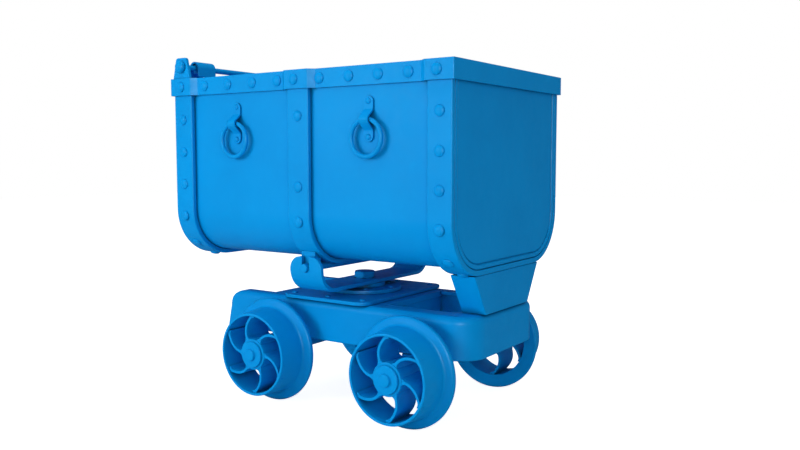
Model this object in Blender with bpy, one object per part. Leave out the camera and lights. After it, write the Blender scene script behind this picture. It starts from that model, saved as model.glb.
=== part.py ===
"""Swivelling end-tipping mine cart: a tub on a turntable cradle over a four-wheeled frame, gauge 600 mm.

Metres, +Z up. +X runs along the cart towards the closed end of the tub, and the discharge door is at -X.
The origin is on the centre line, under the king bolt, at the level of the bottom of the wheel flanges.
"""

from math import cos, pi, radians, sin, sqrt

import bmesh
import bpy
from mathutils import Matrix, Vector

GAP = 0.0003  # left between two pieces that touch

# Tub
TUB_END = 0.590
TUB_TOP = 1.139
SHELL_HALF = 0.349
SHELL_BOTTOM = 0.5125
SHELL_RADIUS = 0.157
SHELL_T = 0.007
STRAP_T = 0.0183
STRAP_SPANS = {"door_end": (-0.590, -0.501), "middle": (-0.041, 0.049), "closed_end": (0.503, 0.590)}
STRAP_RIVETS_Z = (0.992, 0.876, 0.7605, 0.645)
PLATE_T = 0.0105
PLATE_RIM = 0.016
PLATE_RECESS = 0.004

# Rim band
RIM_END = 0.600
RIM_T = 0.0085
RIM_END_T = 0.0097
RIM_BOTTOM = 1.080
RIM_TOP = 1.141
RIM_RAMP = 0.024
RIM_RIVETS_X = (-0.546, -0.442, -0.325, -0.208, -0.093, -0.005, 0.089, 0.208, 0.321, 0.432, 0.541)

# Trunnion rod and foot
ROD_Z = 0.4890
ROD_R = 0.0145
ROD_HALF = 0.341
SADDLE_Y = (0.285, 0.3155)
SADDLE_HALF = 0.030
FOOT_X = (0.499, 0.587)
FOOT_TOP_HALF = 0.226
FOOT_BOTTOM_HALF = 0.148

# Rings and their eye straps
RING_XS = {"door_end": -0.287, "closed_end": 0.282}
RING_R = 0.0577
RING_TUBE = 0.0073
RING_OUT = 0.0190
RING_PIVOT_Z = 0.975
EYE_HALF = 0.0145
EYE_T = 0.005

# Door and hinge
HINGE_X = -0.546
HINGE_Z = 1.1825
HINGE_ROD_R = 0.010
LUG_Y = (0.360, 0.372)
LUG_TOP = 1.215
DOOR_TOP = 1.070
DOOR_HALF = 0.345
HINGE_STRAP_Y = 0.2700
HINGE_STRAP_HALF = 0.0415
HINGE_STRAP_T = 0.007

# Frame
FRAME_LEFT = -0.463
FRAME_RIGHT = 0.586
FRAME_HALF = 0.240
FRAME_WALL = 0.050
FRAME_BOTTOM = 0.225
FRAME_TOP = 0.3635
FRAME_CORNER = 0.090
FRAME_OPENING_END = 0.495
FRAME_EDGE = 0.026
LIP_START = 0.2275
LIP_INNER = 0.168
LIP_T = 0.012
BOLSTER_X = (-0.270, 0.222)
BOLSTER_PLATE_T = 0.020

# Turntable, stacked upwards from the frame
TABLE_HALF_X = 0.188
TABLE_HALF_Y = 0.252
TABLE_T = 0.012
DISC_R = 0.136
DISC_T = 0.0132
WASHER_R = 0.075
WASHER_T = 0.014
KING_R = 0.0195

# Cradle
CRADLE_HALF = 0.069
CRADLE_T = 0.014
EAR_Y = 0.331
EAR_TOP = 0.527
EAR_BEND = 0.080
EAR_CORNER = 0.045

# Wheels and axles
WHEEL_XS = {"door_end": -0.189, "closed_end": 0.377}
AXLE_Z = 0.181
AXLE_R = 0.025
WHEEL_BACK = 0.281
WHEEL_FRONT = 0.399
FLANGE_R = 0.181
TREAD_R = (0.150, 0.143)
RIM_BORE = 0.134
HUB_R = 0.054
BUSH_R = 0.031

TABLE_Z = FRAME_TOP + GAP
DISC_Z = TABLE_Z + TABLE_T + GAP
WASHER_Z = DISC_Z + DISC_T + GAP
CRADLE_Z = WASHER_Z + WASHER_T + GAP
FOOT_BOTTOM = FRAME_TOP + GAP
STRAP_HALF = SHELL_HALF + GAP + STRAP_T
STRAP_BOTTOM = SHELL_BOTTOM - GAP - STRAP_T
STRAP_RADIUS = SHELL_RADIUS + GAP + STRAP_T
TUB_PIVOT = (0.0, 0.0, ROD_Z)

for old in list(bpy.data.objects):
    bpy.data.objects.remove(old)


def material(name, colour, roughness, metallic=0.0):
    made = bpy.data.materials.new(name)
    made.use_nodes = True
    shader = made.node_tree.nodes["Principled BSDF"]
    shader.inputs["Base Color"].default_value = (*colour, 1.0)
    shader.inputs["Roughness"].default_value = roughness
    shader.inputs["Metallic"].default_value = metallic
    return made


BLUE = material("blue_paint", (0.0, 0.22, 0.60), 0.42)
BRONZE = material("bronze", (0.45, 0.29, 0.12), 0.35, 1.0)


# ---------------------------------------------------------------- shapes
def arc(centre, radius, start, end, steps):
    """Points of an arc in a plane, angles in degrees."""
    points = []
    for i in range(steps + 1):
        a = radians(start + (end - start) * i / steps)
        points.append((centre[0] + radius * cos(a), centre[1] + radius * sin(a)))
    return points


def circle(centre, radius, steps):
    return arc(centre, radius, 0, 360 * (steps - 1) / steps, steps - 1)


def place(axis, point, along):
    """A point of the outline plane as (x, y, z). The plane of X holds (y, z), of Y (x, z) and of Z (x, y)."""
    u, v = point
    return {"X": (along, u, v), "Y": (u, along, v), "Z": (u, v, along)}[axis]


def as_mesh(name, bm):
    bmesh.ops.recalc_face_normals(bm, faces=bm.faces)
    if bm.calc_volume(signed=True) < 0:
        bmesh.ops.reverse_faces(bm, faces=bm.faces)
    mesh = bpy.data.meshes.new(name)
    bm.to_mesh(mesh)
    bm.free()
    obj = bpy.data.objects.new(name, mesh)
    bpy.context.scene.collection.objects.link(obj)
    return obj


def extrude(bm, axis, outline, low, high):
    """Adds a closed outline drawn out along an axis to bm."""
    bottom = [bm.verts.new(place(axis, p, low)) for p in outline]
    top = [bm.verts.new(place(axis, p, high)) for p in outline]
    bm.faces.new(bottom)
    bm.faces.new(top)
    for i in range(len(outline)):
        j = (i + 1) % len(outline)
        bm.faces.new((bottom[i], bottom[j], top[j], top[i]))


def prism(name, axis, outline, low, high):
    bm = bmesh.new()
    extrude(bm, axis, outline, low, high)
    return as_mesh(name, bm)


def ring_prism(name, outer, inner, low, high):
    """A band between two loops with the same number of points, drawn out along Z."""
    bm = bmesh.new()
    loops = []
    for outline, z in ((outer, low), (outer, high), (inner, high), (inner, low)):
        loops.append([bm.verts.new((*p, z)) for p in outline])
    for k in range(4):
        first, second = loops[k], loops[(k + 1) % 4]
        for i in range(len(outer)):
            j = (i + 1) % len(outer)
            bm.faces.new((first[i], first[j], second[j], second[i]))
    return as_mesh(name, bm)


def revolve(bm, profile, centre, axis, steps, sign=1.0):
    """Adds a closed profile of (radius, distance along the axis) turned about the axis to bm."""
    rows = []
    for k in range(steps):
        a = 2 * pi * k / steps
        row = []
        for radius, along in profile:
            u, v = radius * cos(a), radius * sin(a)
            offset = Vector(place(axis, (u, v), sign * along))
            row.append(bm.verts.new(Vector(centre) + offset))
        rows.append(row)
    for k in range(steps):
        here, there = rows[k], rows[(k + 1) % steps]
        for i in range(len(profile)):
            j = (i + 1) % len(profile)
            bm.faces.new((here[i], here[j], there[j], there[i]))
    bmesh.ops.remove_doubles(bm, verts=bm.verts, dist=1e-6)
    bmesh.ops.dissolve_degenerate(bm, edges=bm.edges, dist=1e-7)


def turned(name, profile, centre, axis, steps, sign=1.0):
    bm = bmesh.new()
    revolve(bm, profile, centre, axis, steps, sign)
    return as_mesh(name, bm)


def dome(radius, height, sunk=0.002):
    """Profile of a flattened rivet head, standing on a surface at 0 and sunk into it."""
    return [
        (0.0, -sunk),
        (radius, -sunk),
        (radius, height * 0.3),
        (radius * 0.62, height),
        (0.0, height),
    ]


def helper(obj):
    obj.hide_render = True
    obj.display_type = "WIRE"
    return obj


def boolean(obj, other, operation):
    modifier = obj.modifiers.new(operation.lower() + "_" + other.name, "BOOLEAN")
    modifier.operation = operation
    modifier.solver = "EXACT"
    modifier.object = helper(other)


def rivets(obj, places, radius=0.0172, height=0.0065, steps=6):
    """Unites rivet heads with obj. Each place is (point on the surface, axis, +1 or -1 outwards)."""
    bm = bmesh.new()
    for point, axis, sign in places:
        revolve(bm, dome(radius, height), point, axis, steps, sign)
    boolean(obj, as_mesh(obj.name + "_rivets", bm), "UNION")


def finish(obj, shader=BLUE, origin=(0.0, 0.0, 0.0), smooth=True):
    """Moves the origin, sets the material, and shades smooth but for sharp edges."""
    obj.data.transform(Matrix.Translation(-Vector(origin)))
    obj.location = origin
    obj.data.materials.clear()
    obj.data.materials.append(shader)
    if smooth:
        for face in obj.data.polygons:
            face.use_smooth = True
        obj.data.set_sharp_from_angle(angle=radians(32))
    return obj


def soften(obj, width, segments=2, angle=40):
    modifier = obj.modifiers.new("edges", "BEVEL")
    modifier.width = width
    modifier.segments = segments
    modifier.limit_method = "ANGLE"
    modifier.angle_limit = radians(angle)


# ---------------------------------------------------------------- tub
def u_line(half, bottom, radius, top, steps=8):
    """One line down a side of the tub, round the bottom and up the other side, in (y, z)."""
    left = arc((-half + radius, bottom + radius), radius, 180, 270, steps)
    right = arc((half - radius, bottom + radius), radius, 270, 360, steps)
    return [(-half, top)] + left + right + [(half, top)]


def u_bar(name, half, bottom, radius, thickness, span):
    inside = u_line(half - thickness, bottom + thickness, radius - thickness, TUB_TOP)
    return prism(name, "X", u_line(half, bottom, radius, TUB_TOP) + inside[::-1], *span)


def build_shell():
    span = (-TUB_END, TUB_END - PLATE_T - GAP)
    finish(u_bar("tub_shell", SHELL_HALF, SHELL_BOTTOM, SHELL_RADIUS, SHELL_T, span), origin=TUB_PIVOT)


def build_end_plate():
    inner_face = TUB_END - PLATE_T
    outline = u_line(SHELL_HALF, SHELL_BOTTOM, SHELL_RADIUS, TUB_TOP)
    plate = prism("tub_end_plate", "X", outline, inner_face, TUB_END)
    half = SHELL_HALF - PLATE_RIM
    bottom = SHELL_BOTTOM + PLATE_RIM
    panel = u_line(half, bottom, SHELL_RADIUS - PLATE_RIM, TUB_TOP + 0.02)
    cutter = prism("end_panel_cutter", "X", panel, TUB_END - PLATE_RECESS, TUB_END + 0.02)
    boolean(plate, cutter, "DIFFERENCE")
    finish(plate, origin=TUB_PIVOT)


def build_straps():
    for where, span in STRAP_SPANS.items():
        name = "strap_" + where
        strap = u_bar(name, STRAP_HALF, STRAP_BOTTOM, STRAP_RADIUS, STRAP_T, span)
        middle = sum(span) / 2
        if where == "middle":
            seat = prism("rod_seat_cutter", "Y", circle((0, ROD_Z), ROD_R + GAP, 32), -0.5, 0.5)
            boolean(strap, seat, "DIFFERENCE")
        heads = []
        for side in (-1, 1):
            for z in STRAP_RIVETS_Z:
                if where == "middle" and z == STRAP_RIVETS_Z[1]:
                    continue
                heads.append(((middle, side * STRAP_HALF, z), "Y", side))
        rivets(strap, heads)
        finish(strap, origin=TUB_PIVOT)


def rim_side():
    """(x, step) along one side: the band steps out by the strap's thickness where it crosses a strap."""
    points = []
    for low, high in STRAP_SPANS.values():
        if low > -TUB_END:
            points += [(low - RIM_RAMP - 0.002, 0.0), (low - 0.002, 1.0)]
        if high < TUB_END:
            points += [(high + 0.002, 1.0), (high + 0.002 + RIM_RAMP, 0.0)]
    return points


def rim_loop(end, inset, radius):
    step = STRAP_T + GAP
    low = SHELL_HALF + GAP + RIM_T - inset
    high = low + step
    near = [(x, -(low + step * s)) for x, s in rim_side()]
    far = [(x, -y) for x, y in reversed(near)]
    loop = arc((-end + radius, -high + radius), radius, 180, 270, 3) + near
    loop += arc((end - radius, -high + radius), radius, 270, 360, 3)
    loop += arc((end - radius, high - radius), radius, 0, 90, 3) + far
    return loop + arc((-end + radius, high - radius), radius, 90, 180, 3)


def build_rim():
    outer = rim_loop(RIM_END, 0.0, 0.003)
    inner = rim_loop(RIM_END - RIM_END_T, RIM_T, 0.0003)
    rim = ring_prism("rim_band", outer, inner, RIM_BOTTOM, RIM_TOP)
    middle = (RIM_BOTTOM + RIM_TOP) / 2
    flat = SHELL_HALF + GAP + RIM_T
    proud = flat + STRAP_T + GAP
    heads = []
    for side in (-1, 1):
        for x in RIM_RIVETS_X:
            over_strap = any(low < x < high for low, high in STRAP_SPANS.values())
            heads.append(((x, side * (proud if over_strap else flat), middle), "Y", side))
    rivets(rim, heads, radius=0.0180)
    finish(rim, origin=TUB_PIVOT)


def build_trunnion_rod():
    c = 0.003
    profile = [
        (0.0, -ROD_HALF),
        (ROD_R - c, -ROD_HALF),
        (ROD_R, -ROD_HALF + c),
        (ROD_R, ROD_HALF - c),
        (ROD_R - c, ROD_HALF),
        (0.0, ROD_HALF),
    ]
    finish(turned("trunnion_rod", profile, TUB_PIVOT, "Y", 32), origin=TUB_PIVOT)
    for side, side_name in ((-1, "near"), (1, "far")):
        build_saddle("rod_saddle_" + side_name, side)


def build_saddle(name, side):
    """A block between the middle strap and the rod, just inside a cradle ear, notched over the rod."""
    low, high = SADDLE_Y
    centre_y, centre_z, r = STRAP_HALF - STRAP_RADIUS, STRAP_BOTTOM + STRAP_RADIUS, STRAP_RADIUS + 2 * GAP
    outline = [(side * high, ROD_Z), (side * low, ROD_Z)]
    for i in range(5):
        y = low + (high - low) * i / 4
        outline.append((side * y, centre_z - sqrt(r * r - (y - centre_y) ** 2)))
    saddle = prism(name, "X", outline, -SADDLE_HALF, SADDLE_HALF)
    notch = prism(name + "_cutter", "Y", circle((0, ROD_Z), ROD_R + GAP, 32), -0.5, 0.5)
    boolean(saddle, notch, "DIFFERENCE")
    finish(saddle, origin=TUB_PIVOT)


def build_foot():
    bm = bmesh.new()
    rings = []
    for z, half in ((FOOT_BOTTOM, FOOT_BOTTOM_HALF), (STRAP_BOTTOM - GAP, FOOT_TOP_HALF)):
        corners = [(x, y) for x, y in ((0, -half), (1, -half), (1, half), (0, half))]
        rings.append([bm.verts.new((FOOT_X[x], y, z)) for x, y in corners])
    bm.faces.new(rings[0])
    bm.faces.new(rings[1])
    for i in range(4):
        j = (i + 1) % 4
        bm.faces.new((rings[0][i], rings[0][j], rings[1][j], rings[1][i]))
    foot = as_mesh("rest_foot", bm)
    soften(foot, 0.003)
    finish(foot, origin=TUB_PIVOT)


# ---------------------------------------------------------------- rings on the tub's sides
def thick_line(points, thickness):
    """A bent strip as a closed outline: the line itself, then the same line moved to the right of its travel."""
    moved = []
    for i, here in enumerate(points):
        before = Vector(points[max(i - 1, 0)])
        after = Vector(points[min(i + 1, len(points) - 1)])
        into = (Vector(here) - before).normalized() if i else (after - Vector(here)).normalized()
        out = (after - Vector(here)).normalized() if i < len(points) - 1 else into
        tangent = (into + out).normalized()
        across = Vector((tangent.y, -tangent.x))
        moved.append(tuple(Vector(here) + across * thickness / max(0.5, tangent.dot(out))))
    return list(points) + moved[::-1]


def eye_line():
    """Inner face of an eye strap in (distance from the shell, z), from its top end down."""
    line = [(0.0, 1.046), (0.0, 1.010)]
    hump, base, reach = RING_PIVOT_Z - 0.002, 0.034, 0.0290
    for i in range(1, 10):
        t = i / 10
        line.append((reach * (1 - cos(2 * pi * t)) / 2, hump + base * (1 - 2 * t)))
    return line + [(0.0, 0.938), (0.0, 0.905)]


def build_eye_strap(name, x, side):
    outline = []
    for s, z in thick_line(eye_line(), -EYE_T):
        outline.append((side * (SHELL_HALF + GAP + s), z))
    strap = prism(name, "X", outline, x - EYE_HALF, x + EYE_HALF)
    for z, end in ((1.046, 1), (0.905, -1)):
        r = EYE_HALF
        centre = z - end * r
        corner = arc((x, centre), r, 0, 180 * end, 8)
        corner += [(x - 2 * r, centre), (x - 2 * r, z + end * 0.01)]
        corner += [(x + 2 * r, z + end * 0.01), (x + 2 * r, centre)]
        low, high = sorted((side * 0.33, side * 0.40))
        boolean(strap, prism(name + "_end_cutter", "Y", corner, low, high), "DIFFERENCE")
    face = side * (SHELL_HALF + GAP + EYE_T)
    rivets(strap, [((x, face, z), "Y", side) for z in (1.031, 0.920)], radius=0.009, height=0.005)
    finish(strap, origin=TUB_PIVOT)


def build_ring(name, x, side):
    y = side * (SHELL_HALF + RING_OUT)
    centre = Vector((x, y, RING_PIVOT_Z - RING_R))
    bm = bmesh.new()
    rows = []
    for k in range(24):
        a = 2 * pi * k / 24
        row = []
        for r, along in circle((RING_R, 0.0), RING_TUBE, 7):
            row.append(bm.verts.new(centre + Vector((r * cos(a), along, r * sin(a)))))
        rows.append(row)
    for k in range(24):
        here, there = rows[k], rows[(k + 1) % 24]
        for i in range(7):
            j = (i + 1) % 7
            bm.faces.new((here[i], here[j], there[j], there[i]))
    finish(as_mesh(name, bm), origin=(x, y, RING_PIVOT_Z))


def build_rings():
    for side, side_name in ((-1, "near"), (1, "far")):
        for end_name, x in RING_XS.items():
            build_eye_strap(f"eye_strap_{side_name}_{end_name}", x, side)
            build_ring(f"ring_{side_name}_{end_name}", x, side)


# ---------------------------------------------------------------- door and its hinge
def build_lugs():
    for side, side_name in ((-1, "near"), (1, "far")):
        x = HINGE_X
        outline = [
            (x - 0.043, RIM_TOP + GAP),
            (x + 0.043, RIM_TOP + GAP),
            (x + 0.026, LUG_TOP),
            (x - 0.026, LUG_TOP),
        ]
        low, high = sorted((side * LUG_Y[0], side * LUG_Y[1]))
        lug = prism(f"hinge_lug_{side_name}", "Y", outline, low, high)
        bore = circle((x, HINGE_Z), HINGE_ROD_R + GAP, 24)
        hole = prism(lug.name + "_cutter", "Y", bore, -0.5, 0.5)
        boolean(lug, hole, "DIFFERENCE")
        finish(lug, origin=TUB_PIVOT)


def build_hinge_rod():
    """A rod with a domed head outside each lug."""
    base = LUG_Y[1] + GAP
    head = [(0.0220, base), (0.0215, base + 0.006), (0.0150, base + 0.015), (0.0, base + 0.019)]
    half = [(HINGE_ROD_R, base)] + head
    profile = [(r, -along) for r, along in reversed(half)] + half
    finish(turned("hinge_rod", profile, (HINGE_X, 0, HINGE_Z), "Y", 24), origin=TUB_PIVOT)


def build_door():
    origin = (HINGE_X, 0, HINGE_Z)
    inner, outer = -TUB_END - GAP, -0.600
    outline = u_line(DOOR_HALF, SHELL_BOTTOM + 0.004, SHELL_RADIUS - 0.004, DOOR_TOP)
    finish(prism("door_plate", "X", outline, outer, inner), origin=origin)
    face = outer - GAP
    bar_outline = [(-0.30, 0.700), (0.30, 0.700), (0.30, 0.760), (-0.30, 0.760)]
    bar = prism("door_bar", "X", bar_outline, face - 0.010, face)
    rivets(bar, [((face - 0.010, y, 0.730), "X", -1) for y in (-0.27, -0.09, 0.09, 0.27)])
    finish(bar, origin=origin)
    line = [(0.0, 0.672), (0.0, 0.650), (0.028, 0.642), (0.028, 0.598), (0.0, 0.590), (0.0, 0.568)]
    handle = [(face - s, z) for s, z in thick_line(line, -0.008)]
    grip = prism("door_handle", "Y", handle, -0.060, 0.060)
    finish(grip, origin=origin)
    build_hinge_straps(origin, face)


def build_hinge_straps(origin, face):
    r = 0.018
    line = [(HINGE_X + r, 1.152)] + arc((HINGE_X, HINGE_Z), r, 0, 180, 12)
    line += [(face, 1.150), (face, 0.820)]
    for side, side_name in ((-1, "near"), (1, "far")):
        y = side * HINGE_STRAP_Y
        low, high = y - HINGE_STRAP_HALF, y + HINGE_STRAP_HALF
        strap = prism(f"hinge_strap_{side_name}", "Y", thick_line(line, HINGE_STRAP_T), low, high)
        heads = []
        for z in (1.030, 0.945, 0.860):
            for dy in (-0.024, 0.024):
                heads.append(((face - HINGE_STRAP_T, y + dy, z), "X", -1))
        rivets(strap, heads, radius=0.013)
        finish(strap, origin=origin)
        bore, outside = HINGE_ROD_R + GAP, r * 0.985 - GAP
        half = HINGE_STRAP_HALF - 0.010
        sleeve = [(bore, -half), (outside, -half), (outside, half), (bore, half)]
        tube = turned(f"hinge_sleeve_{side_name}", sleeve, (HINGE_X, y, HINGE_Z), "Y", 24)
        finish(tube, origin=origin)


# ---------------------------------------------------------------- frame
def frame_outline():
    """Side beams joined by a rounded end. Past the bolster they keep a narrow lip inside, all round the bay."""
    r, inner_r = FRAME_CORNER, 0.045
    inner = FRAME_HALF - FRAME_WALL
    line = [(FRAME_LEFT, -FRAME_HALF)]
    line += arc((FRAME_RIGHT - r, -FRAME_HALF + r), r, 270, 360, 8)
    line += arc((FRAME_RIGHT - r, FRAME_HALF - r), r, 0, 90, 8)
    line += [(FRAME_LEFT, FRAME_HALF), (FRAME_LEFT, inner), (LIP_START, inner), (LIP_START, LIP_INNER)]
    line += arc((FRAME_OPENING_END - inner_r, LIP_INNER - inner_r), inner_r, 90, 0, 5)
    line += arc((FRAME_OPENING_END - inner_r, -LIP_INNER + inner_r), inner_r, 0, -90, 5)
    return line + [(LIP_START, -LIP_INNER), (LIP_START, -inner), (FRAME_LEFT, -inner)]


def lip_recess():
    """The hollow under the lip, out to the inner faces of the beams."""
    inner, inner_r = FRAME_HALF - FRAME_WALL, 0.045
    line = [(LIP_START - 0.020, -inner + 0.0004)]
    line += arc((FRAME_OPENING_END - inner_r, -inner + inner_r + 0.0004), inner_r, 270, 360, 5)
    line += arc((FRAME_OPENING_END - inner_r, inner - inner_r - 0.0004), inner_r, 0, 90, 5)
    line += [(LIP_START - 0.020, inner - 0.0004)]
    return prism("lip_recess_cutter", "Z", line, FRAME_BOTTOM - 0.02, FRAME_TOP - LIP_T)


def build_frame():
    bm = bmesh.new()
    extrude(bm, "Z", frame_outline(), FRAME_BOTTOM, FRAME_TOP)
    top = [e for e in bm.edges if all(abs(v.co.z - FRAME_TOP) < 1e-6 for v in e.verts)]
    rounded = [
        e
        for e in top
        if all(abs(v.co.y) > FRAME_HALF - 1e-6 or v.co.x > FRAME_RIGHT - FRAME_CORNER - 1e-6 for v in e.verts)
        and not all(abs(v.co.x - FRAME_LEFT) < 1e-6 for v in e.verts)
    ]
    bmesh.ops.bevel(bm, geom=rounded, offset=FRAME_EDGE, segments=4, profile=0.5, affect="EDGES")
    frame = as_mesh("frame", bm)
    r = 0.055
    corner = arc((FRAME_LEFT + r, FRAME_TOP - r), r, 180, 90, 8)
    corner += [(FRAME_LEFT + r, FRAME_TOP + 0.02), (FRAME_LEFT - 0.02, FRAME_TOP + 0.02)]
    corner += [(FRAME_LEFT - 0.02, FRAME_TOP - r)]
    boolean(frame, prism("frame_end_cutter", "Y", corner, -0.5, 0.5), "DIFFERENCE")
    boolean(frame, lip_recess(), "DIFFERENCE")
    finish(frame)


def build_bolster():
    left, right = BOLSTER_X
    under = FRAME_TOP - BOLSTER_PLATE_T
    low = FRAME_BOTTOM + 0.010
    outline = [
        (left, FRAME_TOP),
        (left, under),
        (left + 0.008, under),
        (left + 0.008, low),
        (left + 0.026, low),
        (left + 0.026, under),
        (right - 0.026, under),
        (right - 0.026, low),
        (right - 0.008, low),
        (right - 0.008, under),
        (right, under),
        (right, FRAME_TOP),
    ]
    half = FRAME_HALF - FRAME_WALL - GAP
    bolster = prism("bolster", "Y", outline, -half, half)
    king_hole(bolster)
    finish(bolster)


def king_hole(obj):
    hole = prism(obj.name + "_king_cutter", "Z", circle((0, 0), KING_R + GAP, 24), 0.2, 0.6)
    boolean(obj, hole, "DIFFERENCE")


def build_tie():
    half = FRAME_HALF - FRAME_WALL - GAP
    profile = [(0.0, -half), (0.016, -half), (0.016, half), (0.0, half)]
    finish(turned("frame_tie_bar", profile, (-0.400, 0, 0.285), "Y", 24))


def build_turntable():
    r = 0.045
    x, y = TABLE_HALF_X - r, TABLE_HALF_Y - r
    outline = arc((x, -y), r, 270, 360, 5) + arc((x, y), r, 0, 90, 5)
    outline += arc((-x, y), r, 90, 180, 5) + arc((-x, -y), r, 180, 270, 5)
    plate = prism("turntable_plate", "Z", outline, TABLE_Z, TABLE_Z + TABLE_T)
    king_hole(plate)
    heads = []
    for px in (-0.152, 0.0, 0.150):
        for py in (-0.212, 0.212):
            heads.append(((px, py, TABLE_Z + TABLE_T), "Z", 1))
    rivets(plate, heads, radius=0.010, height=0.005)
    finish(plate)

    top = DISC_Z + DISC_T
    bore = KING_R + GAP
    rim = [(bore, DISC_Z), (DISC_R, DISC_Z), (DISC_R, top - 0.003), (DISC_R - 0.003, top), (bore, top)]
    disc = turned("turntable_disc", rim, (0, 0, 0), "Z", 40)
    spots = []
    for k in range(6):
        a = radians(60 * k + 8)
        spots.append(((0.106 * cos(a), 0.106 * sin(a), top), "Z", 1))
    rivets(disc, spots, radius=0.009, height=0.0045)
    finish(disc)


def build_king_bolt():
    head_low, head_high = CRADLE_Z + CRADLE_T + GAP, CRADLE_Z + CRADLE_T + 0.0245
    bolt = prism("king_bolt", "Z", circle((0, 0), 0.0405, 6), head_low, head_high)
    under = FRAME_TOP - BOLSTER_PLATE_T - GAP
    shank = prism("king_bolt_shank", "Z", circle((0, 0), KING_R, 24), under - 0.038, head_low + 0.004)
    boolean(bolt, shank, "UNION")
    finish(bolt)
    nut = prism("king_nut", "Z", circle((0, 0), 0.0345, 6), under - 0.030, under)
    king_hole(nut)
    finish(nut)


# ---------------------------------------------------------------- cradle
def build_cradle():
    origin = (0, 0, CRADLE_Z)
    top = WASHER_Z + WASHER_T
    ring = [(KING_R + GAP, WASHER_Z), (WASHER_R, WASHER_Z), (WASHER_R, top), (KING_R + GAP, top)]
    finish(turned("swivel_washer", ring, (0, 0, 0), "Z", 32), origin=origin)

    low, t, r = CRADLE_Z, CRADLE_T, EAR_BEND
    outer = [(-EAR_Y, EAR_TOP)] + arc((-EAR_Y + r, low + r), r, 180, 270, 8)
    outer += arc((EAR_Y - r, low + r), r, 270, 360, 8) + [(EAR_Y, EAR_TOP)]
    inner = [(-EAR_Y + t, EAR_TOP)] + arc((-EAR_Y + r, low + r), r - t, 180, 270, 8)
    inner += arc((EAR_Y - r, low + r), r - t, 270, 360, 8) + [(EAR_Y - t, EAR_TOP)]
    cradle = prism("cradle", "X", outer + inner[::-1], -CRADLE_HALF, CRADLE_HALF)
    for side in (-1, 1):
        c = EAR_CORNER
        centre = (side * (CRADLE_HALF - c), EAR_TOP - c)
        corner = arc(centre, c, 0 if side > 0 else 180, 90, 6)
        corner += [(centre[0], EAR_TOP + 0.02), (side * 0.09, EAR_TOP + 0.02), (side * 0.09, EAR_TOP - c)]
        boolean(cradle, prism(f"ear_corner_cutter{side}", "Y", corner, -0.5, 0.5), "DIFFERENCE")
    w = ROD_R + 0.001
    slot = arc((0, ROD_Z), w, 180, 360, 12) + [(w, EAR_TOP + 0.02), (-w, EAR_TOP + 0.02)]
    boolean(cradle, prism("ear_slot_cutter", "Y", slot, -0.5, 0.5), "DIFFERENCE")
    king_hole(cradle)
    finish(cradle, origin=origin)


# ---------------------------------------------------------------- wheels and axles
def wheel_rim_profile():
    width = WHEEL_FRONT - WHEEL_BACK
    return [
        (RIM_BORE, 0.0),
        (FLANGE_R - 0.004, 0.0),
        (FLANGE_R, 0.004),
        (FLANGE_R, 0.012),
        (FLANGE_R - 0.006, 0.018),
        (TREAD_R[0], 0.026),
        (TREAD_R[1], width),
        (RIM_BORE, width),
    ]


def spoke_outline(hub_angle):
    """A thin curved blade from the hub to the rim, in (x, z)."""
    a, b = radians(hub_angle), radians(hub_angle - 30)
    start = Vector((0.047 * cos(a), 0.047 * sin(a)))
    end = Vector(((RIM_BORE + 0.003) * cos(b), (RIM_BORE + 0.003) * sin(b)))
    pull = Vector((0.104 * cos(a), 0.104 * sin(a)))
    line = []
    for i in range(6):
        t = i / 5
        line.append(tuple(start * (1 - t) ** 2 + pull * 2 * t * (1 - t) + end * t * t))
    half = 0.004
    left = thick_line(line, half)[len(line):]
    right = thick_line(line, -half)[len(line):]
    return left[::-1] + right


def build_wheel(name, x, side):
    centre = (x, side * WHEEL_BACK, AXLE_Z)
    wheel = turned(name, wheel_rim_profile(), centre, "Y", 48, side)
    width = WHEEL_FRONT - WHEEL_BACK
    bore = BUSH_R + GAP
    hub = [
        (bore, -0.004),
        (HUB_R - 0.004, -0.004),
        (HUB_R, width - 0.008),
        (HUB_R - 0.003, width - 0.005),
        (bore, width - 0.005),
    ]
    hub_obj = turned(name + "_hub", hub, centre, "Y", 24, side)
    bm = bmesh.new()
    low, high = sorted((side * (WHEEL_BACK + 0.004), side * (WHEEL_FRONT - 0.008)))
    for k in range(6):
        outline = [(x + u, AXLE_Z + v) for u, v in spoke_outline(60 * k)]
        extrude(bm, "Y", outline, low, high)
    boolean(wheel, as_mesh(name + "_spokes", bm), "UNION")
    boolean(wheel, hub_obj, "UNION")
    origin = (x, side * (WHEEL_BACK + WHEEL_FRONT) / 2, AXLE_Z)
    finish(wheel, origin=origin)
    bore, end = AXLE_R + GAP, width - 0.005
    bush = [(bore, -0.004), (BUSH_R, -0.004), (BUSH_R, end), (bore, end)]
    finish(turned(name.replace("wheel", "bush"), bush, centre, "Y", 24, side), BRONZE, origin)


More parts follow.
